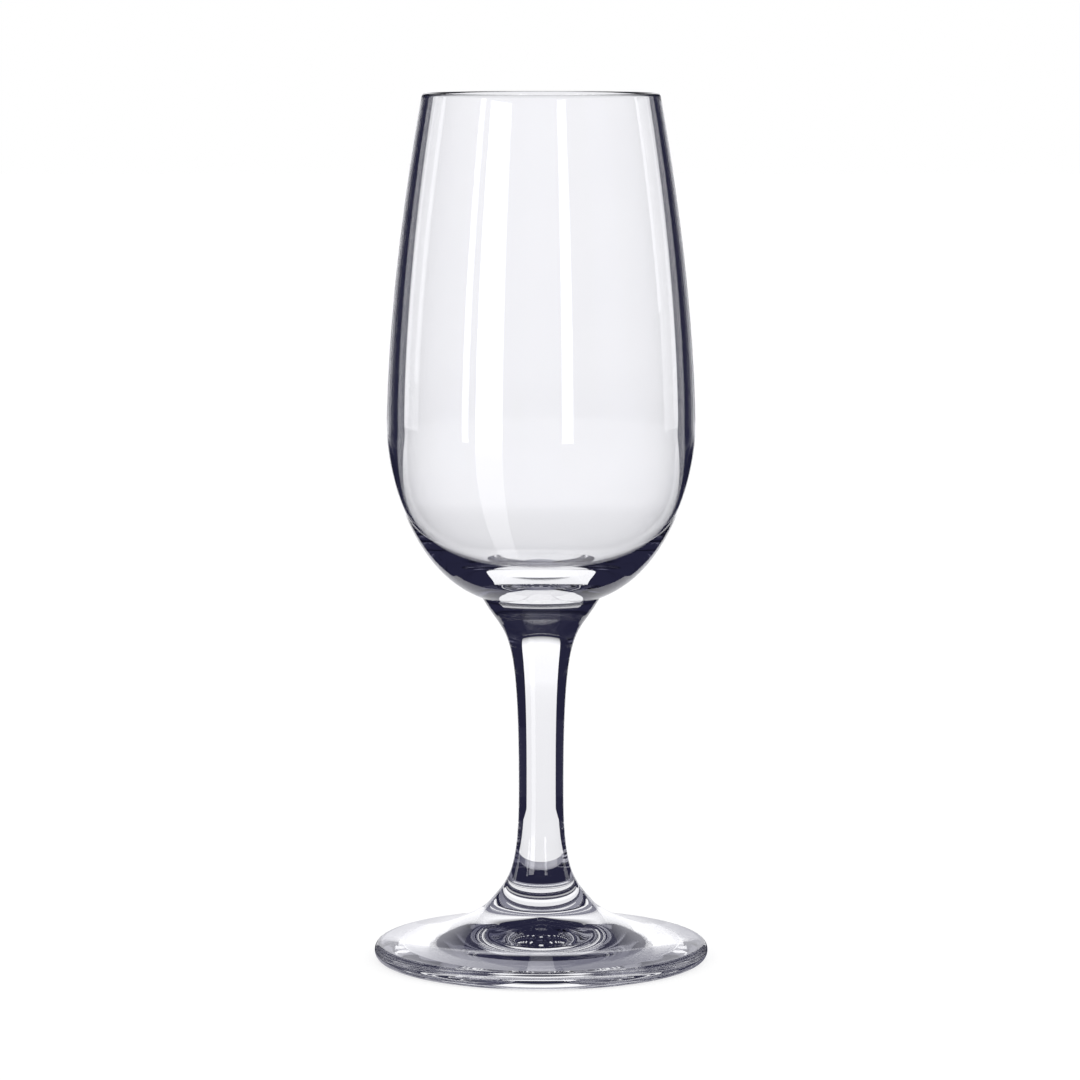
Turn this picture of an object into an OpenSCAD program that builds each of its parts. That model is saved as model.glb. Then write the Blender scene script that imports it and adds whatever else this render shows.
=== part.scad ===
// Stemmed glass for sherry: a deep bowl on a slender stem with a round foot, fused from three pieces of clear glass.
// Origin: centre of the underside, +Z up, millimetres.

/* [Bowl] */
// Height of the bowl, from its bottom outside to the rim
bowl_h = 89.2; // [70:0.1:110]
// Outside diameter at the rim
rim_d = 41.3; // [34:0.1:48]
// Outside diameter of the belly, the widest part of the bowl
belly_d = 54; // [48:0.1:66]
// Height of the belly above the bowl's bottom
belly_rise = 30.4; // [22:0.1:38]
// Thickness of the wall at the rim, measured level
rim_wall = 1.3; // [0.8:0.1:2]
// Thickness of the wall at the belly
belly_wall = 1.9; // [1.2:0.1:3]
// Thickness of the solid glass at the bowl's bottom
bowl_floor = 5.3; // [3:0.1:9]
// Diameter of the flat at the bottom inside
inner_flat_d = 12.2; // [4:0.1:20]

/* [Stem] */
// Height of the stem, from the foot's seam to the bowl's bottom
stem_h = 52.8; // [40:0.1:75]
// Diameter of the stem's cupped top, where it meets the bowl
neck_d = 20.8; // [16:0.1:26]
// Slope of the stem's side at the cupped top, from upright, in degrees
neck_angle = 29; // [20:1:45]
// Diameter of the waist, the narrowest part of the stem
waist_d = 7.9; // [6:0.1:11]
// Height of the waist above the foot's seam
waist_rise = 20; // [14:0.1:28]

/* [Foot] */
// Height of the foot at its middle, where the stem is fused on
foot_h = 10; // [7:0.1:14]
// Outside diameter of the foot
foot_d = 58.8; // [46:0.1:72]
// Thickness of the foot's edge
edge_t = 2.9; // [2:0.1:4]
// How far the rounding of the edge reaches in
edge_round = 1.3; // [0.6:0.1:2]
// Slope of the foot's top just inside its edge, in degrees
edge_angle = 9; // [4:1:14]
// Diameter of the seam between the stem and the foot
seam_d = 18.1; // [14:0.1:24]
// Slope of the glass at that seam, from upright, in degrees
seam_angle = 40; // [30:1:55]
// Width of the flat ring on which the glass stands
rest_w = 4; // [1:0.1:7]
// Depth of the hollow under the foot
hollow_depth = 4.3; // [1:0.1:5.5]

/* [Finish] */
// Points along each curve of an outline
curve_steps = 24; // [12:1:48]
// Straight steps round the glass in the preview
around_steps = 120; // [48:12:240]

/* [Hidden] */
// How the radius narrows from the belly to the rim: 1 is a straight cone, 2 a parabola
shoulder_power_share = 1.7;
// Fullness of the bowl's lower half, sideways and downwards: 2 and 2 is an ellipse, more is squarer
side_fullness_share = 2.8;
base_fullness_share = 1.63;
// The same for the inside of that half, which is rounder
inner_side_share = 2.33;
inner_base_share = 2.43;
// How far each end of a stem curve keeps its direction, as shares of that curve's height
waist_up_share = 0.9;
neck_down_share = 0.25;
waist_down_share = 0.75;
seam_up_share = 0.25;
// The same for the foot's top, as shares of its reach from the seam to the edge
seam_out_share = 0.22;
edge_in_share = 0.45;
// How the hollow under the foot rises to its middle: 1 is a straight cone, 2 a parabola
hollow_power_share = 1.15;

rim_r = rim_d / 2;
belly_r = belly_d / 2;
inner_flat_r = inner_flat_d / 2;
neck_r = neck_d / 2;
waist_r = waist_d / 2;
seam_r = seam_d / 2;
foot_r = foot_d / 2;

bowl_z = foot_h + stem_h;
belly_z = bowl_z + belly_rise;
rim_z = bowl_z + bowl_h;
waist_z = foot_h + waist_rise;

rest_out_r = foot_r - edge_round;
rest_in_r = rest_out_r - rest_w;

glass_color = [0.86, 0.89, 0.95, 0.45];

// A cubic curve from point a to point d, which leaves a towards b and reaches d from c.
function curve(a, b, c, d) =
    [for (i = [0:curve_steps])
        let (t = i / curve_steps, s = 1 - t)
        s * s * s * a + 3 * s * s * t * b + 3 * s * t * t * c + t * t * t * d];

// A list of points, the other way round.
function reversed(points) = [for (i = [len(points) - 1:-1:0]) points[i]];

// A list of points without its first one.
function rest_of(points) = [for (i = [1:1:len(points) - 1]) points[i]];

// Radius of the bowl's outside at height z, from the belly up.
function shoulder_r(z) =
    belly_r - (belly_r - rim_r) * pow((z - belly_z) / (rim_z - belly_z), shoulder_power_share);

// Level thickness of the wall at height z, from the belly up.
function wall_at(z) = belly_wall + (rim_wall - belly_wall) * (z - belly_z) / (rim_z - belly_z);

// A point of the bowl's rounded lower half: turn is 0 at its bottom, on the axis, and 90 at the belly.
function base_point(side_r, drop, turn, side_share, base_share) =
    [side_r * pow(sin(turn), 2 / side_share), belly_z - drop * pow(cos(turn), 2 / base_share)];

// The same on the outside and on the inside. The inside's curve starts at the rim of its flat.
function outer_point(turn) =
    base_point(belly_r, belly_rise, turn, side_fullness_share, base_fullness_share);
function inner_point(turn) =
    [inner_flat_r, 0]
    + base_point(belly_r - belly_wall - inner_flat_r, belly_rise - bowl_floor, turn,
                 inner_side_share, inner_base_share);

// Where the stem's cupped top ends on the bowl's lower half.
seat_turn = asin(pow(neck_r / belly_r, side_fullness_share / 2));

// The seam between bowl and stem, from the axis out to the neck. Both pieces are shaped on it.
seat_steps = ceil(curve_steps / 2);
seat_points = [for (i = [0:seat_steps]) outer_point(seat_turn * i / seat_steps)];

// The lip is a half round, turned by the wall's lean at the rim.
lean = atan(shoulder_power_share * (belly_r - rim_r) / (rim_z - belly_z));
lip_r = rim_wall * cos(lean) / 2;
lip_z = rim_z - lip_r;
lip_x = shoulder_r(lip_z + lip_r * sin(lean)) - lip_r * cos(lean);

// Outline of the bowl: up the outside from the seat, over the lip and down the inside.
bowl_side_points = [for (i = [1:curve_steps])
    outer_point(seat_turn + (90 - seat_turn) * i / curve_steps)];
bowl_shoulder_points = [for (i = [1:curve_steps - 1])
    let (z = belly_z + (lip_z - belly_z) * i / curve_steps)
    [shoulder_r(z), z]];
lip_points = [for (i = [0:seat_steps])
    let (turn = lean + 180 * i / seat_steps)
    [lip_x + lip_r * cos(turn), lip_z + lip_r * sin(turn)]];
inner_shoulder_points = [for (i = [curve_steps - 1:-1:1])
    let (z = belly_z + (lip_z - belly_z) * i / curve_steps)
    [shoulder_r(z) - wall_at(z), z]];
inner_base_points = [for (i = [curve_steps:-1:0]) inner_point(90 * i / curve_steps)];
inner_middle = [0, bowl_z + bowl_floor];

module bowl() {
    color(glass_color)
    rotate_extrude($fn = around_steps)
    polygon(concat(seat_points, bowl_side_points, bowl_shoulder_points, lip_points,
                   inner_shoulder_points, inner_base_points, [inner_middle]));
}

// The stem's side, from the foot's seam up past the waist to the neck.
neck_point = seat_points[seat_steps];
neck_rise = neck_point[1] - waist_z;
seam_point = [seam_r, foot_h];
flare_points = curve(
    seam_point,
    seam_point + seam_up_share * waist_rise * [-sin(seam_angle), cos(seam_angle)],
    [waist_r, waist_z - waist_down_share * waist_rise],
    [waist_r, waist_z]);
shank_points = curve(
    [waist_r, waist_z],
    [waist_r, waist_z + waist_up_share * neck_rise],
    neck_point - neck_down_share * neck_rise * [sin(neck_angle), cos(neck_angle)],
    neck_point);

module stem() {
    color(glass_color)
    rotate_extrude($fn = around_steps)
    polygon(concat([[0, foot_h]], flare_points, rest_of(shank_points), rest_of(reversed(seat_points))));
}

// Outline of the foot: the hollow from the middle out, the rest ring, the rounded edge and the top.
hollow_points = [for (i = [0:curve_steps])
    let (reach = i / curve_steps)
    [rest_in_r * reach, hollow_depth * (1 - pow(reach, hollow_power_share))]];
edge_points = [for (i = [0:curve_steps])
    let (turn = 180 * i / curve_steps - 90)
    [rest_out_r + edge_round * cos(turn), edge_t / 2 * (1 + sin(turn))]];
foot_reach = rest_out_r - seam_r;
edge_point = [rest_out_r, edge_t];
top_points = curve(
    edge_point,
    edge_point + edge_in_share * foot_reach * [-cos(edge_angle), sin(edge_angle)],
    seam_point + seam_out_share * foot_reach * [sin(seam_angle), -cos(seam_angle)],
    seam_point);

module foot() {
    color(glass_color)
    rotate_extrude($fn = around_steps)
    polygon(concat(hollow_points, edge_points, rest_of(top_points), [[0, foot_h]]));
}

bowl();
stem();
foot();
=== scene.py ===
"""A stemmed sherry glass: its clear bowl, stem and foot, and the light table and dark cards round it."""

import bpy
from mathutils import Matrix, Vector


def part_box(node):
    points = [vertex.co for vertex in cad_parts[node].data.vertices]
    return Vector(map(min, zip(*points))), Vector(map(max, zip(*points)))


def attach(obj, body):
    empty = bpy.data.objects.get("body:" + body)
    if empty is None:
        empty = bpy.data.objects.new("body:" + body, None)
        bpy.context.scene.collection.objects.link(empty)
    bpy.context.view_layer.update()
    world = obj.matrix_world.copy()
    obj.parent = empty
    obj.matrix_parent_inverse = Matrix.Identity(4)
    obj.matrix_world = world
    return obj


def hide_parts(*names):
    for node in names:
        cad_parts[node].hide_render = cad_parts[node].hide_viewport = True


bl_info = {
    "name": "Sherry glass",
    "version": (1, 0, 0),
    "blender": (4, 5, 0),
    "location": "View3D > Sidebar > Sherry glass",
    "description": "Turns the bowl, stem and foot of a sherry glass and sets up its studio",
    "category": "Object",
}

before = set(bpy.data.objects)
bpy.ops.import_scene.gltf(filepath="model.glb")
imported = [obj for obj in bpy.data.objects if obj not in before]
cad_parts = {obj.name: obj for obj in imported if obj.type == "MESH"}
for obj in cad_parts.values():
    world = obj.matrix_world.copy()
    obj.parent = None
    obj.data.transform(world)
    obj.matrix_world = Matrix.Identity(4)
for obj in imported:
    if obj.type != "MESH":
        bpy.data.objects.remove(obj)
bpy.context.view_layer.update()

import math

import bpy
from bpy.props import (
    FloatProperty,
    FloatVectorProperty,
    IntProperty,
    PointerProperty,
)
from mathutils import Vector


BOWL_LOW, BOWL_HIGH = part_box("bowl")
STEM_LOW, STEM_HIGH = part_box("stem")
FOOT_LOW, FOOT_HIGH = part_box("foot")


# Sizes and colours that a user may change


def length(name, description, default):
    """A size in metres."""
    return FloatProperty(
        name=name, description=description, default=default, min=0.0, precision=5,
        subtype="DISTANCE", unit="LENGTH",
    )


def share(name, description, default):
    """A plain number."""
    return FloatProperty(name=name, description=description, default=default, min=0.0, precision=3)


def angle(name, description, degrees):
    """An angle, given in degrees."""
    return FloatProperty(
        name=name, description=description, default=math.radians(degrees),
        subtype="ANGLE", unit="ROTATION",
    )


def colour(name, description, default):
    """A colour, as its red, green and blue light."""
    return FloatVectorProperty(
        name=name, description=description, default=default, size=3, min=0.0, max=1.0,
        subtype="COLOR",
    )


class BowlSizes(bpy.types.PropertyGroup):
    """The bowl's outline"""
    belly_d: length("Belly diameter", "Outside diameter of the belly", BOWL_HIGH.x - BOWL_LOW.x)
    rim_d: length("Rim diameter", "Outside diameter at the rim", 0.0413)
    belly_rise: length("Belly rise", "Height of the belly above the bowl's bottom", 0.0304)
    rim_wall: length("Rim wall", "Thickness of the wall at the rim", 0.0013)
    belly_wall: length("Belly wall", "Thickness of the wall at the belly", 0.0019)
    floor: length("Floor", "Thickness of the solid glass at the bowl's bottom", 0.0053)
    shoulder_power: share("Shoulder", "How the side narrows to the rim: 1 is a cone, 2 a parabola", 1.7)
    side_fullness: share("Side fullness", "Fullness of the lower half, sideways", 2.8)
    base_fullness: share("Base fullness", "Fullness of the lower half, downwards", 1.63)
    inner_side_fullness: share("Inner side fullness", "The same inside", 2.33)
    inner_base_fullness: share("Inner base fullness", "The same inside, downwards", 2.43)
    inner_flat_r: length("Inner flat", "Radius of the flat at the bottom inside", 0.0061)


class StemSizes(bpy.types.PropertyGroup):
    """The stem's outline"""
    neck_d: length("Neck diameter", "Diameter of the cupped top", STEM_HIGH.x - STEM_LOW.x)
    neck_angle: angle("Neck angle", "Slope of the side at the cupped top, from upright", 29)
    waist_d: length("Waist diameter", "Diameter of the narrowest part", 0.0079)
    waist_rise: length("Waist rise", "Height of the waist above the foot's seam", 0.02)
    seam_d: length("Seam diameter", "Diameter of the seam with the foot", 0.0181)
    seam_angle: angle("Seam angle", "Slope of the glass at that seam, from upright", 40)
    waist_up: share("Waist, upwards", "How far the waist keeps its direction upwards", 0.9)
    neck_down: share("Neck, downwards", "How far the neck keeps its direction", 0.25)
    waist_down: share("Waist, downwards", "How far the waist keeps its direction downwards", 0.75)
    seam_up: share("Seam, upwards", "How far the seam keeps its direction", 0.25)


class FootSizes(bpy.types.PropertyGroup):
    """The foot's outline"""
    foot_d: length("Foot diameter", "Outside diameter", FOOT_HIGH.x - FOOT_LOW.x)
    foot_h: length("Foot height", "Height at the middle", FOOT_HIGH.z)
    edge_t: length("Edge thickness", "Thickness of the edge", 0.0029)
    edge_round: length("Edge rounding", "How far the rounding of the edge reaches in", 0.0013)
    edge_angle: angle("Edge angle", "Slope of the top just inside the edge", 9)
    rest_w: length("Rest width", "Width of the flat ring on which the glass stands", 0.004)
    hollow_depth: length("Hollow depth", "Depth of the hollow underneath", 0.0043)
    hollow_power: share("Hollow", "How the hollow rises to its middle: 1 is a cone, 2 a parabola", 1.15)
    seam_out: share("Seam, outwards", "How far the seam keeps its direction", 0.22)
    edge_in: share("Edge, inwards", "How far the edge keeps its direction", 0.45)


class GlassLook(bpy.types.PropertyGroup):
    """The clear glass and how finely it is turned"""
    index: share("Index", "Index of refraction of soda-lime glass", 1.52)
    clear: colour("Clear", "Tint of the clearest glass", (1.0, 1.0, 1.0))
    faint: colour("Faint", "Tint of the least clear glass", (0.985, 0.985, 0.99))
    ripple_size: length("Ripple size", "Distance between the faint ripples of its surface", 0.012)
    ripple_height: length("Ripple height", "Height of those ripples", 0.000001)
    around_steps: IntProperty(name="Steps round", description="Steps round the glass", default=256)
    curve_steps: IntProperty(name="Curve steps", description="Points along each long curve", default=56)


class Studio(bpy.types.PropertyGroup):
    """The camera, the white paper behind the glass and the cards round it"""
    camera_back: length("Camera distance", "How far in front of the glass the camera stands", 0.8004)
    camera_up: length("Camera height", "Height of the lens above the table", 0.1655)
    camera_left: length("Camera left", "How far left of the axis it stands and looks", 0.0002)
    aim_up: length("Aim height", "Height on the glass's axis at which it looks", 0.0741)
    lens: FloatProperty(name="Lens", description="Focal length in millimetres", default=153.43)
    table: colour("Table", "Colour of the pale table top", (0.3, 0.3, 0.3))
    table_glow: share("Table's glow", "How much of the table's white is its own", 0.76)
    room: colour("Room", "What the glass mirrors where no card stands", (0.018, 0.018, 0.042))
    paper_near_w: length("Paper, near", "Half the white paper's width beside the glass", 0.012)
    strip_start: length("Strip's start", "How far in front of the glass a grey strip starts", 0.05)
    strip_end: length("Strip's end", "How far behind the glass it ends", 0.0)
    strip_w: length("Strip's width", "Half its width", 0.032)
    paper_middle: length("Paper's middle", "How far behind the glass its sides bend", 0.62)
    paper_middle_w: length("Paper, middle", "Half its width at that bend", 0.42)
    paper_far_w: length("Paper, far", "Half its width where it meets the backdrop", 0.7)
    paper_back: length("Backdrop distance", "How far behind the glass the backdrop stands", 1.2)
    paper_up: length("Backdrop height", "Height of the white part of the backdrop", 0.4)
    haze_up: length("Haze height", "Height to which it fades", 0.8)
    strip_glow: share("Strip's glow", "Brightness of the strip beside and before the glass", 0.2)
    near_glow: share("Paper's glow, near", "Brightness of the paper under the glass", 0.89)
    middle_glow: share("Paper's glow, middle", "Its brightness at its bend", 0.97)
    far_glow: share("Paper's glow, far", "Its brightness at the backdrop's foot", 1.06)
    high_glow: share("Backdrop's glow", "Brightness at the top of the backdrop's white part", 1.14)
    haze_glow: share("Haze", "Brightness where it has faded", 0.3)
    coolness: share("Coolness", "How much more blue than red there is in the paper's white", 1.03)
    grey_tint: share("Grey's tint", "How much more blue than red the grey cards have", 0.06)
    glare_near: length("Glare, near", "Where the window's glare on the table starts", 0.05)
    glare_far: length("Glare, far", "Where it ends, at the window's foot", 1.0)
    glare_near_glow: share("Glare's glow, near", "Brightness of that glare at its start", 1.6)
    glare_far_glow: share("Glare's glow, far", "Its brightness at the window's foot", 4.2)
    side_left: length("Left card", "How far left of the glass the upright dark card stands", 0.064)
    side_right: length("Right card", "How far right of it the other one stands", 0.064)
    side_start: length("Side cards' start", "How far behind the glass they start", 0.03)
    side_end: length("Side cards' end", "How far behind the glass they end", 0.113)
    side_up: length("Side cards' height", "How high they reach", 0.3)
    side_lean: length("Side cards' lean", "How far they lean in towards the glass at their top", 0.032)
    front_edge: length("Front cloth's edge", "How far in front of the glass the grey cloth starts", 0.12)
    front_glow: share("Front cloth's glow", "Brightness of that cloth", 0.12)
    # Painted shade: the grey disc under the foot stands in for the glass's shadow on the table, painted
    # lighter on the left than on the right.
    painted_shade_r: length("Painted shade radius", "Radius of the grey mat under the foot", 0.031)
    painted_shade_left_glow: share("Painted shade's glow, left", "Brightness of that mat on the left", 0.5)
    painted_shade_right_glow: share("Painted shade's glow, right", "Brightness of that mat on the right", 0.05)
    # Painted shadow: the dark spot in the middle of that disc is the glass's shadow on the table under its
    # foot.
    painted_shadow_spot_r: length("Painted shadow spot radius", "Radius of the dark spot in its middle", 0.013)


# Outlines: each point is a radius and a height


def cubic(a, b, c, d, steps):
    """A cubic curve from a to d, which leaves a towards b and reaches d from c."""
    points = []
    for i in range(steps + 1):
        t = i / steps
        s = 1 - t
        points.append(s**3 * a + 3 * s * s * t * b + 3 * s * t * t * c + t**3 * d)
    return points


def slope(turn):
    """A step of length 1 that leans by turn from upright, outwards."""
    return Vector((math.sin(turn), math.cos(turn)))


def level(turn):
    """A step of length 1 outwards that rises by turn from level."""
    return Vector((math.cos(turn), math.sin(turn)))


class Outline:
    """The outline's shared values, worked out from the sizes."""

    def __init__(self, scene):
        self.bowl = scene.sherry_bowl
        self.stem = scene.sherry_stem
        self.foot = scene.sherry_foot
        self.steps = scene.sherry_glass.curve_steps
        self.belly_r = self.bowl.belly_d / 2
        self.rim_r = self.bowl.rim_d / 2
        self.bowl_z = BOWL_LOW.z
        self.belly_z = self.bowl_z + self.bowl.belly_rise
        self.rim_z = BOWL_HIGH.z
        self.waist_z = self.foot.foot_h + self.stem.waist_rise
        self.seam = Vector((self.stem.seam_d / 2, self.foot.foot_h))
        self.waist = Vector((self.stem.waist_d / 2, self.waist_z))
        neck_share = self.stem.neck_d / self.bowl.belly_d
        self.seat_turn = math.asin(neck_share ** (self.bowl.side_fullness / 2))

    def base_point(self, side_r, drop, turn, side_fullness, base_fullness):
        """A point of a rounded lower half: turn is 0 at its bottom and a right angle at the belly."""
        return Vector((
            side_r * math.sin(turn) ** (2 / side_fullness),
            self.belly_z - drop * max(math.cos(turn), 0.0) ** (2 / base_fullness),
        ))

    def outer_base(self, turn):
        """A point of the bowl's lower half, outside."""
        bowl = self.bowl
        return self.base_point(self.belly_r, bowl.belly_rise, turn, bowl.side_fullness, bowl.base_fullness)

    def inner_base(self, turn):
        """The same inside, from the rim of its flat."""
        bowl = self.bowl
        side_r = self.belly_r - bowl.belly_wall - bowl.inner_flat_r
        drop = bowl.belly_rise - bowl.floor
        point = self.base_point(side_r, drop, turn, bowl.inner_side_fullness, bowl.inner_base_fullness)
        return point + Vector((bowl.inner_flat_r, 0))

    def shoulder_r(self, z):
        """Radius of the bowl's outside at height z, from the belly up."""
        rise = (z - self.belly_z) / (self.rim_z - self.belly_z)
        return self.belly_r - (self.belly_r - self.rim_r) * rise**self.bowl.shoulder_power

    def wall_at(self, z):
        """Level thickness of the wall at height z, from the belly up."""
        rise = (z - self.belly_z) / (self.rim_z - self.belly_z)
        return self.bowl.belly_wall + (self.bowl.rim_wall - self.bowl.belly_wall) * rise

    def seat_points(self):
        """The seam between bowl and stem, from the axis out to the neck."""
        steps = self.steps // 2
        return [self.outer_base(self.seat_turn * i / steps) for i in range(steps + 1)]

    def bowl_points(self):
        """Out along the seat, up the outside, over the lip and down the inside to the axis."""
        bowl, steps = self.bowl, self.steps
        fall = self.rim_z - self.belly_z
        lean = math.atan(bowl.shoulder_power * (self.belly_r - self.rim_r) / fall)
        lip_r = bowl.rim_wall * math.cos(lean) / 2
        lip_z = self.rim_z - lip_r
        lip_x = self.shoulder_r(lip_z + lip_r * math.sin(lean)) - lip_r * math.cos(lean)
        heights = [self.belly_z + (lip_z - self.belly_z) * i / steps for i in range(1, steps)]
        rising = [self.seat_turn + (math.pi / 2 - self.seat_turn) * i / steps for i in range(1, steps + 1)]
        falling = [math.pi / 2 * (1 - i / steps) for i in range(steps + 1)]
        lip_turns = [lean + math.pi * i / (steps // 2) for i in range(steps // 2 + 1)]
        return (
            self.seat_points()
            + [self.outer_base(turn) for turn in rising]
            + [Vector((self.shoulder_r(z), z)) for z in heights]
            + [Vector((lip_x, lip_z)) + lip_r * level(turn) for turn in lip_turns]
            + [Vector((self.shoulder_r(z) - self.wall_at(z), z)) for z in reversed(heights)]
            + [self.inner_base(turn) for turn in falling]
            + [Vector((0, self.inner_base(0).y))]
        )

    def stem_points(self):
        """From the axis out along the foot's seam, up the side and back in along the seat."""
        stem = self.stem
        seat = self.seat_points()
        neck = seat[-1]
        neck_rise = neck.y - self.waist_z
        flare = cubic(
            self.seam,
            self.seam + stem.seam_up * stem.waist_rise * Vector((-1, 1)) * slope(stem.seam_angle),
            self.waist - Vector((0, stem.waist_down * stem.waist_rise)),
            self.waist,
            self.steps,
        )
        shank = cubic(
            self.waist,
            self.waist + Vector((0, stem.waist_up * neck_rise)),
            neck - stem.neck_down * neck_rise * slope(stem.neck_angle),
            neck,
            self.steps,
        )
        return [Vector((0, self.foot.foot_h))] + flare + shank[1:] + seat[-2::-1]

    def foot_points(self):
        """From the axis out along the hollow, round the edge, in over the top and along the seam."""
        foot, steps = self.foot, self.steps
        rest_out_r = foot.foot_d / 2 - foot.edge_round
        rest_in_r = rest_out_r - foot.rest_w
        reaches = [i / steps for i in range(steps + 1)]
        hollow = [
            Vector((rest_in_r * reach, foot.hollow_depth * (1 - reach**foot.hollow_power)))
            for reach in reaches
        ]
        edge_turns = [math.pi * i / (steps // 2) - math.pi / 2 for i in range(steps // 2 + 1)]
        edge = [
            Vector((rest_out_r + foot.edge_round * math.cos(t), foot.edge_t / 2 * (1 + math.sin(t))))
            for t in edge_turns
        ]
        reach = rest_out_r - self.seam.x
        down_the_flare = Vector((1, -1)) * slope(self.stem.seam_angle)
        top = cubic(
            edge[-1],
            edge[-1] + foot.edge_in * reach * Vector((-1, 1)) * level(foot.edge_angle),
            self.seam + foot.seam_out * reach * down_the_flare,
            self.seam,
            steps,
        )
        return hollow + edge + top[1:] + [Vector((0, foot.foot_h))]


# Materials


def new_group(name, sockets):
    """An empty node group with its inputs and outputs: each is a name, a side, a type and a default."""
    group = bpy.data.node_groups.new(name, "ShaderNodeTree")
    for title, side, kind, value in sockets:
        socket = group.interface.new_socket(title, in_out=side, socket_type=kind)
        if value is not None:
            socket.default_value = value
    return group, group.nodes.new("NodeGroupInput"), group.nodes.new("NodeGroupOutput")


def ripple_group():
    """Faint ripples, as a drawn and fire-polished surface has."""
    group, given, out = new_group("fire polish", [
        ("Size", "INPUT", "NodeSocketFloat", 0.012),
        ("Height", "OUTPUT", "NodeSocketFloat", None),
    ])
    place = group.nodes.new("ShaderNodeTexCoord")
    per_size = group.nodes.new("ShaderNodeMath")
    per_size.operation = "DIVIDE"
    per_size.inputs[0].default_value = 1.0
    noise = group.nodes.new("ShaderNodeTexNoise")
    noise.inputs["Detail"].default_value = 1.0
    noise.inputs["Roughness"].default_value = 0.4
    link = group.links.new
    link(given.outputs["Size"], per_size.inputs[1])
    link(per_size.outputs[0], noise.inputs["Scale"])
    link(place.outputs["Object"], noise.inputs["Vector"])
    link(noise.outputs["Fac"], out.inputs["Height"])
    return group


def glass_material(look, ripples):
    """Clear soda-lime glass, faintly rippled and faintly uneven in tint."""
    material = bpy.data.materials.new("clear glass")
    material.use_nodes = True
    tree = material.node_tree
    glass = tree.nodes["Principled BSDF"]
    glass.inputs["Roughness"].default_value = 0.0
    glass.inputs["IOR"].default_value = look.index
    glass.inputs["Transmission Weight"].default_value = 1.0
    wave = tree.nodes.new("ShaderNodeGroup")
    wave.node_tree = ripples
    wave.inputs["Size"].default_value = look.ripple_size
    bump = tree.nodes.new("ShaderNodeBump")
    bump.inputs["Strength"].default_value = 1.0
    bump.inputs["Distance"].default_value = look.ripple_height
    tint = tree.nodes.new("ShaderNodeMix")
    tint.data_type = "RGBA"
    tint.inputs["A"].default_value = (*look.clear, 1)
    tint.inputs["B"].default_value = (*look.faint, 1)
    tree.links.new(wave.outputs["Height"], bump.inputs["Height"])
    tree.links.new(wave.outputs["Height"], tint.inputs["Factor"])
    tree.links.new(tint.outputs["Result"], glass.inputs["Base Color"])
    tree.links.new(bump.outputs["Normal"], glass.inputs["Normal"])
    return material


def seam_material():
    """The faces where two pieces are fused: no surface is left there, so they show nothing."""
    material = bpy.data.materials.new("fused seam")
    material.use_nodes = True
    material.node_tree.nodes["Principled BSDF"].inputs["Alpha"].default_value = 0.0
    return material


def glowing_material(name, start, end=None, axis="Y"):
    """A sheet of its own brightness, from one colour at its start to another at its end."""
    material = bpy.data.materials.new(name)
    material.use_nodes = True
    tree = material.node_tree
    tree.nodes.clear()
    place = tree.nodes.new("ShaderNodeTexCoord")
    along = tree.nodes.new("ShaderNodeSeparateXYZ")
    fade = tree.nodes.new("ShaderNodeMix")
    fade.data_type = "RGBA"
    fade.inputs["A"].default_value = (*start, 1)
    fade.inputs["B"].default_value = (*(end or start), 1)
    glow = tree.nodes.new("ShaderNodeEmission")
    out = tree.nodes.new("ShaderNodeOutputMaterial")
    tree.links.new(place.outputs["Generated"], along.inputs[0])
    tree.links.new(along.outputs[axis], fade.inputs["Factor"])
    tree.links.new(fade.outputs["Result"], glow.inputs["Color"])
    tree.links.new(glow.outputs[0], out.inputs["Surface"])
    material.cycles.emission_sampling = "NONE"
    return material


def mirrored_material(name, start, end=None):
    """A light that shows only where the outside of the glass mirrors it, not through the glass."""
    material = glowing_material(name, start, end)
    tree = material.node_tree
    paths = tree.nodes.new("ShaderNodeLightPath")
    outside = tree.nodes.new("ShaderNodeMath")
    outside.operation = "LESS_THAN"
    outside.inputs[1].default_value = 0.5
    glow = next(node for node in tree.nodes if node.type == "EMISSION")
    tree.links.new(paths.outputs["Transmission Depth"], outside.inputs[0])
    tree.links.new(outside.outputs[0], glow.inputs["Strength"])
    return material


def table_material(studio):
    """A pale table top: partly its own white, partly lit, so that it keeps a soft shadow."""
    material = bpy.data.materials.new("pale table")
    material.use_nodes = True
    tree = material.node_tree
    tree.nodes.clear()
    lit = tree.nodes.new("ShaderNodeBsdfDiffuse")
    lit.inputs["Color"].default_value = (*studio.table, 1)
    glow = tree.nodes.new("ShaderNodeEmission")
    glow.inputs["Strength"].default_value = studio.table_glow
    both = tree.nodes.new("ShaderNodeAddShader")
    out = tree.nodes.new("ShaderNodeOutputMaterial")
    tree.links.new(lit.outputs[0], both.inputs[0])
    tree.links.new(glow.outputs[0], both.inputs[1])
    tree.links.new(both.outputs[0], out.inputs["Surface"])
    material.cycles.emission_sampling = "NONE"
    return material


# Modelling


# Edges that turn by less than this are shaded smooth.
SMOOTH_UNDER = math.radians(12)

# Points nearer than this to each other, in metres, are one point.
WELD = 1e-7


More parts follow.
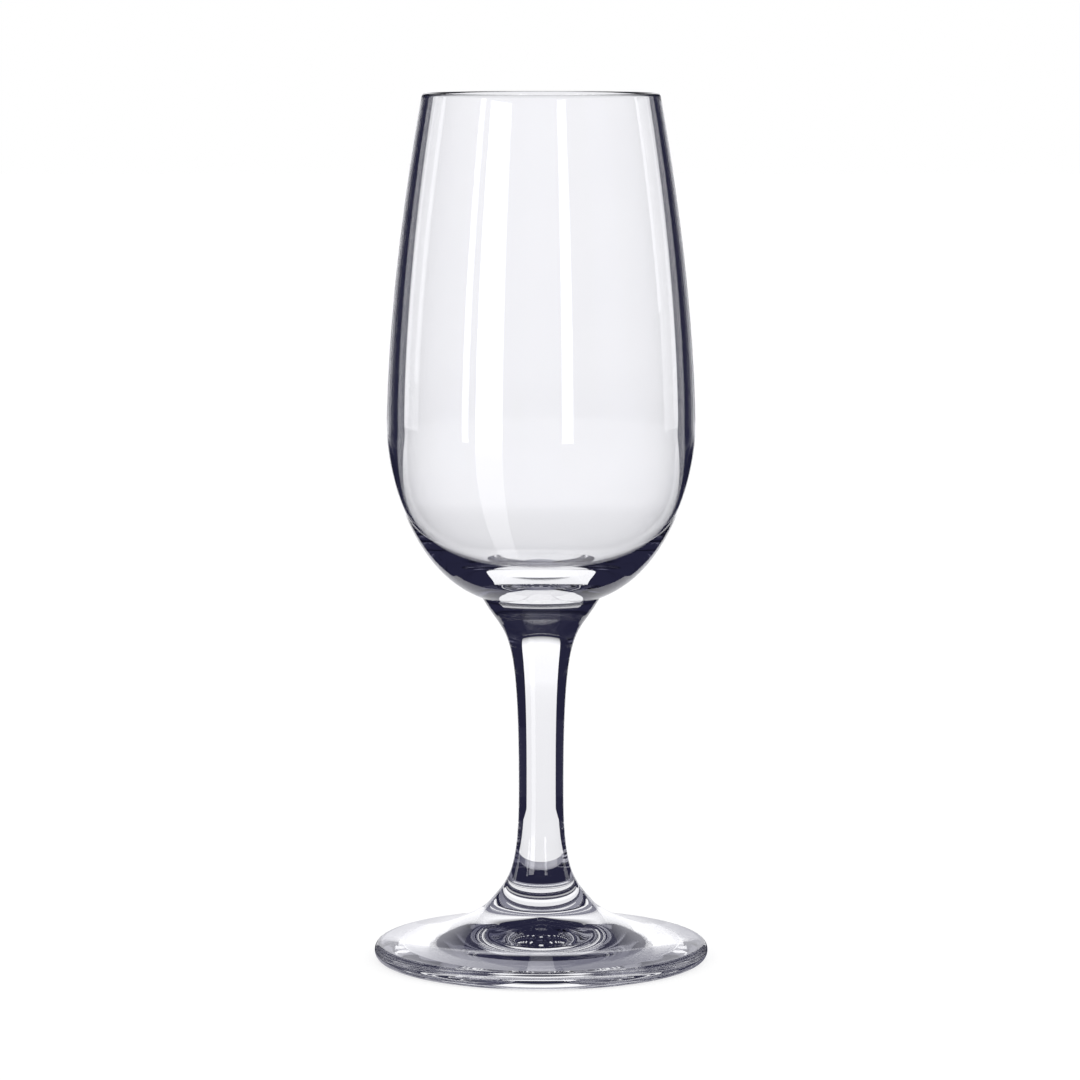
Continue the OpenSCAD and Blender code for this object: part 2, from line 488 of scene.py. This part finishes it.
def turned(name, points, around_steps):
    """Draws the outline point by point and spins it round the axis into a closed piece."""
    bpy.ops.object.select_all(action="DESELECT")
    first = points[0]
    bpy.ops.mesh.primitive_plane_add(size=WELD, location=(first.x, 0, first.y))
    piece = bpy.context.object
    piece.name = name
    piece.data.name = name
    bpy.ops.object.transform_apply(location=True, rotation=False, scale=False)
    bpy.ops.object.mode_set(mode="EDIT")
    bpy.ops.mesh.select_all(action="SELECT")
    bpy.ops.mesh.merge(type="CENTER")
    for last, point in zip(points, points[1:]):
        step = (point.x - last.x, 0, point.y - last.y)
        bpy.ops.mesh.extrude_vertices_move(TRANSFORM_OT_translate={"value": step})
    bpy.ops.mesh.select_all(action="SELECT")
    bpy.ops.mesh.spin(
        steps=around_steps, angle=2 * math.pi, center=(0, 0, 0), axis=(0, 0, 1), use_auto_merge=True
    )
    bpy.ops.mesh.select_all(action="SELECT")
    bpy.ops.mesh.remove_doubles(threshold=WELD)
    bpy.ops.mesh.normals_make_consistent(inside=False)
    bpy.ops.object.mode_set(mode="OBJECT")
    bpy.ops.object.shade_smooth_by_angle(angle=SMOOTH_UNDER)
    return piece


def finish_piece(piece, node, glass, seam, on_seam):
    """Gives a piece its glass, makes its seam faces show nothing and stands it in for its CAD node."""
    piece.data.materials.append(glass)
    piece.data.materials.append(seam)
    for face in piece.data.polygons:
        middle = face.center
        face.material_index = int(on_seam(math.hypot(middle.x, middle.y), middle.z))
    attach(piece, "root")
    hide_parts(node)


class GlassOperator:
    """What the three turning operators share."""
    bl_options = {"REGISTER", "UNDO"}
    node = ""
    title = ""

    def execute(self, context):
        scene = context.scene
        outline = Outline(scene)
        glass = bpy.data.materials.get("clear glass")
        seam = bpy.data.materials.get("fused seam")
        if glass is None or seam is None:
            raise RuntimeError("mix the glass before turning a piece of it")
        piece = turned(self.title, self.points(outline), scene.sherry_glass.around_steps)
        finish_piece(piece, self.node, glass, seam, lambda r, z: self.on_seam(outline, r, z))
        return {"FINISHED"}


# A face whose middle is this near a seam lies on it.
NEAR = 5e-5


class SHERRY_OT_glass(bpy.types.Operator):
    """Mixes the clear glass that the three pieces share"""
    bl_idname = "sherry.glass"
    bl_label = "Clear glass"

    def execute(self, context):
        glass_material(context.scene.sherry_glass, ripple_group())
        seam_material()
        return {"FINISHED"}


class SHERRY_OT_bowl(GlassOperator, bpy.types.Operator):
    """Turns the bowl, with its thin lip, swelling belly and thick floor"""
    bl_idname = "sherry.bowl"
    bl_label = "Bowl"
    node = "bowl"
    title = "glass_bowl"

    def points(self, outline):
        return outline.bowl_points()

    def on_seam(self, outline, r, z):
        neck = outline.outer_base(outline.seat_turn)
        return r < neck.x and z < neck.y + NEAR


class SHERRY_OT_stem(GlassOperator, bpy.types.Operator):
    """Turns the stem, from its flare on the foot to its cupped top under the bowl"""
    bl_idname = "sherry.stem"
    bl_label = "Stem"
    node = "stem"
    title = "glass_stem"

    def points(self, outline):
        return outline.stem_points()

    def on_seam(self, outline, r, z):
        seat_share = min(r / outline.belly_r, 1.0)
        turn = math.asin(seat_share ** (outline.bowl.side_fullness / 2))
        on_seat = abs(z - outline.outer_base(turn).y) < NEAR and z > outline.waist_z
        return on_seat or z < outline.foot.foot_h + WELD


class SHERRY_OT_foot(GlassOperator, bpy.types.Operator):
    """Turns the foot, with its rounded edge, domed top and hollow underside"""
    bl_idname = "sherry.foot"
    bl_label = "Foot"
    node = "foot"
    title = "glass_foot"

    def points(self, outline):
        return outline.foot_points()

    def on_seam(self, outline, r, z):
        return z > outline.foot.foot_h - WELD


# The studio

# The table lies a little below the glass, and the cards on it in layers that don't touch.
TABLE_Z = -1e-4
LAYER = 1e-5
GLARE_LAYER = 3
# Layers of the painted shade under the foot and of the painted shadow in its middle.
PAINTED_SHADE_LAYER = 4
PAINTED_SHADOW_SPOT_LAYER = 4.5

# How far the table and the cloths reach from the glass.
TABLE_REACH = 4.0
CLOTH_REACH = 8
FRONT_REACH = 3

WHITE = (1.0, 1.0, 1.0)
SENSOR_MM = 36
# Steps round the discs of painted shade under the foot.
PAINTED_SHADE_STEPS = 96
WINDOW_STEPS = 8

# Light crosses many faces of glass before it leaves it.
BOUNCES = 32

# Upright lights that the glass mirrors: their start and end in degrees round the glass from the
# camera's side, their distance, lowest and highest point in metres, and their brightness.
WINDOWS = {
    "wide_window": (-49, -28, 1.0, 0.0, 0.5, 4.2),
    "narrow_window": (-60, -54.5, 1.0, 0.0, 0.5, 4.2),
    "right_window": (15, 23.5, 1.0, 0.0, 0.54, 4.2),
    "left_wing": (-122, -103, 1.3, 0.0, 0.42, 1.4),
    "right_wing": (103, 122, 1.3, 0.0, 0.42, 1.4),
    "left_gap": (-109, -104.5, 1.2, 0.08, 0.5, 2.4),
    "right_gap": (102, 106, 1.2, 0.17, 0.5, 2.4),
}


def hide_from_camera(thing):
    """The glass shows this card or light, and the camera and the table don't see it."""
    thing.visible_camera = False
    thing.visible_diffuse = False
    thing.visible_shadow = False


def flat(name, corners, material):
    """A flat sheet through its corners, made from a plane."""
    bpy.ops.object.select_all(action="DESELECT")
    bpy.ops.mesh.primitive_plane_add(size=1)
    sheet = bpy.context.object
    sheet.name = name
    for vertex, corner in zip(sheet.data.vertices, (corners[0], corners[1], corners[3], corners[2])):
        vertex.co = corner
    sheet.data.materials.append(material)
    return sheet


def lying(name, layer, near, far, near_w, far_w, material):
    """A card on the table, from near to far behind the glass, with half its width at each."""
    z = TABLE_Z / 2 + layer * LAYER
    corners = [(-near_w, near, z), (near_w, near, z), (far_w, far, z), (-far_w, far, z)]
    card = flat(name, corners, material)
    hide_from_camera(card)
    return card


def standing(name, back, half_w, low, high, material):
    """An upright card behind the glass."""
    corners = [(-half_w, back, low), (half_w, back, low), (half_w, back, high), (-half_w, back, high)]
    card = flat(name, corners, material)
    hide_from_camera(card)
    return card


def painted_shade(name, layer, radius, material):
    """A round disc under the foot that only the glass shows, painted with the shade that the glass casts
    on the table.
    """
    z = TABLE_Z / 2 + layer * LAYER
    bpy.ops.object.select_all(action="DESELECT")
    bpy.ops.mesh.primitive_circle_add(
        vertices=PAINTED_SHADE_STEPS, radius=radius, fill_type="NGON", location=(0, 0, z)
    )
    disc = bpy.context.object
    disc.name = name
    disc.data.materials.append(material)
    hide_from_camera(disc)
    return disc


def glare(start, end, near, far, material):
    """The patch of light that the wide window throws on the table before the glass."""
    z = TABLE_Z / 2 + GLARE_LAYER * LAYER
    start, end = math.radians(start), math.radians(end)
    turns = ((start, near), (end, near), (end, far), (start, far))
    patch = flat("glare", [(r * math.sin(turn), -r * math.cos(turn), z) for turn, r in turns], material)
    hide_from_camera(patch)
    return patch


def upright(name, start, end, back, low, high, tint):
    """An upright light on a circle round the glass."""
    bpy.ops.object.select_all(action="DESELECT")
    bpy.ops.mesh.primitive_grid_add(x_subdivisions=WINDOW_STEPS, y_subdivisions=1, size=1)
    sheet = bpy.context.object
    sheet.name = name
    for vertex in sheet.data.vertices:
        turn = math.radians(start + (end - start) * (vertex.co.x + 0.5))
        height = low + (high - low) * (vertex.co.y + 0.5)
        vertex.co = (back * math.sin(turn), -back * math.cos(turn), height)
    sheet.data.materials.append(mirrored_material(name, tint))
    hide_from_camera(sheet)
    return sheet


def white_world(scene, studio):
    """White for the camera and the table; the cards round the glass are what it mirrors."""
    world = bpy.data.worlds.new("studio")
    scene.world = world
    world.use_nodes = True
    tree = world.node_tree
    paths = tree.nodes.new("ShaderNodeLightPath")
    mix = tree.nodes.new("ShaderNodeMix")
    mix.data_type = "RGBA"
    mix.inputs["A"].default_value = (*studio.room, 1)
    mix.inputs["B"].default_value = (*WHITE, 1)
    either = tree.nodes.new("ShaderNodeMath")
    either.operation = "MAXIMUM"
    tree.links.new(paths.outputs["Is Camera Ray"], either.inputs[0])
    tree.links.new(paths.outputs["Is Diffuse Ray"], either.inputs[1])
    tree.links.new(either.outputs[0], mix.inputs["Factor"])
    tree.links.new(mix.outputs["Result"], tree.nodes["Background"].inputs["Color"])
    tree.nodes["Background"].inputs["Strength"].default_value = 1.0


def add_camera(scene, studio):
    """The camera that took the photograph."""
    place = Vector((-studio.camera_left, -studio.camera_back, studio.camera_up))
    aim = Vector((-studio.camera_left, 0, studio.aim_up))
    turn = (aim - place).to_track_quat("-Z", "Y").to_euler()
    bpy.ops.object.camera_add(location=place, rotation=turn)
    camera = bpy.context.object
    camera.data.lens = studio.lens
    camera.data.sensor_width = SENSOR_MM
    scene.camera = camera
    return camera


def add_turntable(camera):
    """The cards stand on this, and it turns to the camera, as if the glass were turned before it."""
    bpy.ops.object.empty_add(type="PLAIN_AXES", location=(0, 0, 0))
    turntable = bpy.context.object
    turntable.name = "turntable"
    facing = turntable.constraints.new("LOCKED_TRACK")
    facing.target = camera
    facing.track_axis = "TRACK_NEGATIVE_Y"
    facing.lock_axis = "LOCK_Z"
    return turntable


def add_cards(studio):
    """The white paper, the backdrop and the darker cards and lights round the glass."""
    def cool(brightness):
        return (brightness, brightness, brightness * studio.coolness)

    def grey(brightness):
        return (brightness, brightness, brightness + studio.grey_tint)

    paper = glowing_material("white paper", cool(studio.near_glow), cool(studio.middle_glow))
    far_paper = glowing_material("white paper, far", cool(studio.middle_glow), cool(studio.far_glow))
    backdrop = glowing_material("backdrop", cool(studio.far_glow), cool(studio.high_glow), "Z")
    haze = glowing_material("haze", cool(studio.high_glow), cool(studio.haze_glow), "Z")
    # The dark cloth's colour, also used for the painted shadow under the foot.
    cloth = glowing_material("dark cloth and painted shadow", studio.room)
    strip = glowing_material("grey paper", grey(studio.strip_glow))
    front = glowing_material("grey cloth", grey(studio.front_glow))
    # Painted shade under the foot, lighter on the left and darker on the right, where the glass shades the
    # table.
    under = glowing_material("grey mat", grey(studio.painted_shade_left_glow), grey(studio.painted_shade_right_glow), "X")
    near_w, middle_w, far_w = studio.paper_near_w, studio.paper_middle_w, studio.paper_far_w
    middle, back = studio.paper_middle, studio.paper_back
    cards = [
        lying("cloth", 0, -CLOTH_REACH, CLOTH_REACH, CLOTH_REACH, CLOTH_REACH, cloth),
        lying("front_cloth", 1, -FRONT_REACH, -studio.front_edge, FRONT_REACH, FRONT_REACH, front),
        lying("paper", 2, 0, middle, near_w, middle_w, paper),
        lying("paper_far", 2, middle, back, middle_w, far_w, far_paper),
        lying("strip", 3, -studio.strip_start, studio.strip_end, studio.strip_w, studio.strip_w, strip),
        # The disc under the foot is painted shade, with a painted shadow in its middle; only the glass
        # shows them.
        painted_shade("painted_shade", PAINTED_SHADE_LAYER, studio.painted_shade_r, under),
        # The dark spot takes the dark cloth's colour as painted shadow.
        painted_shade("painted_shadow_spot", PAINTED_SHADOW_SPOT_LAYER, studio.painted_shadow_spot_r, cloth),
        standing("backdrop", back, far_w, TABLE_Z, studio.paper_up, backdrop),
        standing("haze", back, far_w, studio.paper_up, studio.haze_up, haze),
    ]
    start, end, *_ = WINDOWS["wide_window"]
    shine = mirrored_material("glare", cool(studio.glare_far_glow), cool(studio.glare_near_glow))
    cards.append(glare(start, end, studio.glare_near, studio.glare_far, shine))
    dark = glowing_material("dark card", studio.room)
    for name, side, away in (("left_card", -1, studio.side_left), ("right_card", 1, studio.side_right)):
        foot = [(side * away, y, TABLE_Z) for y in (studio.side_start, studio.side_end)]
        lean = side * (away - studio.side_lean)
        top = [(lean, y, studio.side_up) for y in (studio.side_end, studio.side_start)]
        card = flat(name, foot + top, dark)
        hide_from_camera(card)
        cards.append(card)
    for name, (*place, brightness) in WINDOWS.items():
        cards.append(upright(name, *place, cool(brightness)))
    return cards


class SHERRY_OT_studio(bpy.types.Operator):
    """Sets up the camera, the white table and the cards round the glass"""
    bl_idname = "sherry.studio"
    bl_label = "Studio"

    def execute(self, context):
        scene = context.scene
        studio = scene.sherry_studio
        camera = add_camera(scene, studio)
        white_world(scene, studio)
        scene.view_settings.view_transform = "Standard"
        reach = TABLE_REACH
        sides = [(-reach, -reach), (reach, -reach), (reach, reach), (-reach, reach)]
        flat("table", [(x, y, TABLE_Z) for x, y in sides], table_material(studio))
        turntable = add_turntable(camera)
        for card in add_cards(studio):
            card.parent = turntable
        cycles = scene.cycles
        cycles.max_bounces = BOUNCES
        cycles.transmission_bounces = BOUNCES
        cycles.glossy_bounces = BOUNCES
        cycles.transparent_max_bounces = BOUNCES
        cycles.blur_glossy = 0
        cycles.use_denoising = True
        return {"FINISHED"}


class SHERRY_PT_panel(bpy.types.Panel):
    """Lists the glass's pieces and its sizes"""
    bl_label = "Sherry glass"
    bl_idname = "SHERRY_PT_panel"
    bl_space_type = "VIEW_3D"
    bl_region_type = "UI"
    bl_category = "Sherry glass"

    def draw(self, context):
        for operator, settings in STEPS:
            box = self.layout.box()
            box.operator(operator.bl_idname)
            group = getattr(context.scene, settings)
            for name in group.__annotations__:
                box.prop(group, name)


SETTINGS = {
    "sherry_bowl": BowlSizes,
    "sherry_stem": StemSizes,
    "sherry_foot": FootSizes,
    "sherry_glass": GlassLook,
    "sherry_studio": Studio,
}
STEPS = (
    (SHERRY_OT_glass, "sherry_glass"),
    (SHERRY_OT_bowl, "sherry_bowl"),
    (SHERRY_OT_stem, "sherry_stem"),
    (SHERRY_OT_foot, "sherry_foot"),
    (SHERRY_OT_studio, "sherry_studio"),
)


def register():
    for name, group in SETTINGS.items():
        bpy.utils.register_class(group)
        setattr(bpy.types.Scene, name, PointerProperty(type=group))
    for operator, settings in STEPS:
        bpy.utils.register_class(operator)
    bpy.utils.register_class(SHERRY_PT_panel)


def unregister():
    bpy.utils.unregister_class(SHERRY_PT_panel)
    for operator, settings in reversed(STEPS):
        bpy.utils.unregister_class(operator)
    for name, group in reversed(SETTINGS.items()):
        delattr(bpy.types.Scene, name)
        bpy.utils.unregister_class(group)


def main():
    register()
    bpy.ops.sherry.glass()
    bpy.ops.sherry.bowl()
    bpy.ops.sherry.stem()
    bpy.ops.sherry.foot()
    bpy.ops.sherry.studio()


if __name__ == "__main__":
    main()
